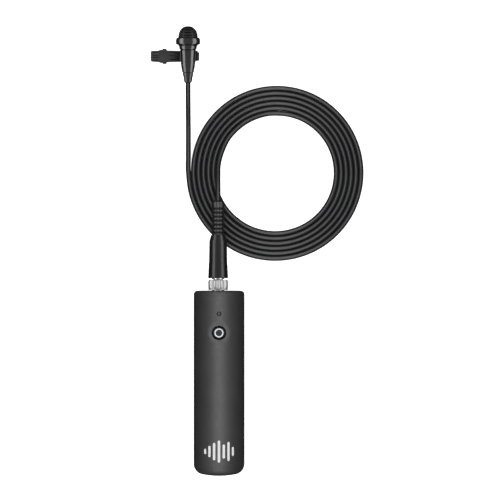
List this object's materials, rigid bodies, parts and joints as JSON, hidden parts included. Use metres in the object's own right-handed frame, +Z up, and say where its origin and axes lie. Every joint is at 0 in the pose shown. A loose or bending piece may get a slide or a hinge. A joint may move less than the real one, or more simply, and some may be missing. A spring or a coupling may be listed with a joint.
{
  "type": "lavalier microphone",
  "caption": "Clip-on lavalier microphone on a thin coiled cord, plugged into a round pocket transmitter with a locking jack.",
  "frame": {"origin": "on the ground below the middle of the rigid pieces (transmitter, microphone and clip), the set lying flat", "axes": "+Y along the transmitter and the microphone, away from the transmitter's domed end; +X across; +Z up, through the power button"},
  "size_m": [0.1009, 0.2126, 0.024],
  "materials": {
    "black_shell": "fine satin moulded",
    "black_gloss": "gloss",
    "black_metal": "black lacquered",
    "cord_jacket": "satin jacket",
    "boot_rubber": "moulded rubber",
    "nickel": "nickel plated",
    "brass": "bright",
    "steel": "plain",
    "white_light": "frosted white",
    "clear_lens": "smoked lens, unlit",
    "board_green": "solder resist",
    "chip_black": "moulded",
    "grey_plastic": "moulded",
    "foam_black": "open-cell foam",
    "cell_wrap": "shrink wrap",
    "wire_red": "insulation"
  },
  "bodies": {
    "microphone": {"microphone_body": "black_gloss", "microphone_boot": "boot_rubber", "neck_ring": "black_gloss", "electret_capsule": "steel", "capsule_gasket": "boot_rubber", "capsule_board": "board_green", "cord_mic_lead": "cord_jacket", "cord_coil": "cord_jacket", "cord_plug_tail": "cord_jacket", "plug_boot": "boot_rubber", "plug_handle": "black_gloss", "cable_crimp": "brass", "plug_core": "nickel", "plug_insulator": "chip_black", "plug_ring_contact": "nickel", "plug_tip": "nickel"},
    "windscreen": {"windscreen_cage": "black_metal", "windscreen_collar": "black_gloss", "foam_liner": "foam_black"},
    "clip_front": {"clip_front_jaw": "black_shell", "clip_pivot_pin": "black_metal", "clip_spring": "steel"},
    "clip_rear": {"clip_rear_jaw": "black_shell"},
    "plug_lock": {"lock_nut": "nickel"},
    "transmitter": {"transmitter_housing": "black_shell", "top_cap": "black_shell", "threaded_bush": "nickel", "jack_socket": "chip_black", "jack_tip_contact": "brass", "jack_ring_contact": "brass", "status_led_lens": "clear_lens", "status_led": "white_light", "tactile_switch": "steel", "main_pcb": "board_green", "rf_shield": "steel", "radio_chip": "chip_black", "antenna_strip": "brass", "charge_board": "board_green", "pcb_screw_front": "steel", "pcb_screw_rear": "steel", "chassis_tray": "grey_plastic", "battery_cell": "cell_wrap", "battery_pad": "foam_black", "battery_lead_red": "wire_red", "battery_lead_black": "chip_black", "usb_socket": "steel", "usb_tongue": "chip_black"},
    "power_button": {"power_button": "black_shell", "button_light_ring": "white_light"}
  },
  "joints": [
    {"name": "windscreen_pull_off", "type": "slide", "parent": "microphone", "child": "windscreen", "axis": [0, 1, 0], "range_m": [0, 0.012]},
    {"name": "clip_swivel", "type": "hinge", "parent": "microphone", "child": "clip_front", "pos_m": [-0.0045, 0.0922, 0.009], "axis": [0, 1, 0], "continuous": true},
    {"name": "clip_open", "type": "hinge", "parent": "clip_front", "child": "clip_rear", "pos_m": [-0.0157, 0.0922, 0.0031], "axis": [0, 1, 0], "range_deg": [0, 18], "stiffness_Nm_per_rad": 0.03, "springref_deg": -17.19, "deforming": ["clip_spring"]},
    {"name": "lock_nut_turn", "type": "hinge", "parent": "microphone", "child": "plug_lock", "pos_m": [0.00974, -0.016, 0.012], "axis": [0, 1, 0], "continuous": true},
    {"name": "transmitter_unplug", "type": "slide", "parent": "microphone", "child": "transmitter", "axis": [0, -1, 0], "range_m": [0, 0.02]},
    {"name": "power_button_press", "type": "slide", "parent": "transmitter", "child": "power_button", "axis": [0, 0, -1], "range_m": [0, 0.0005], "stiffness_N_per_m": 400, "springref_m": -0.001}
  ]
}
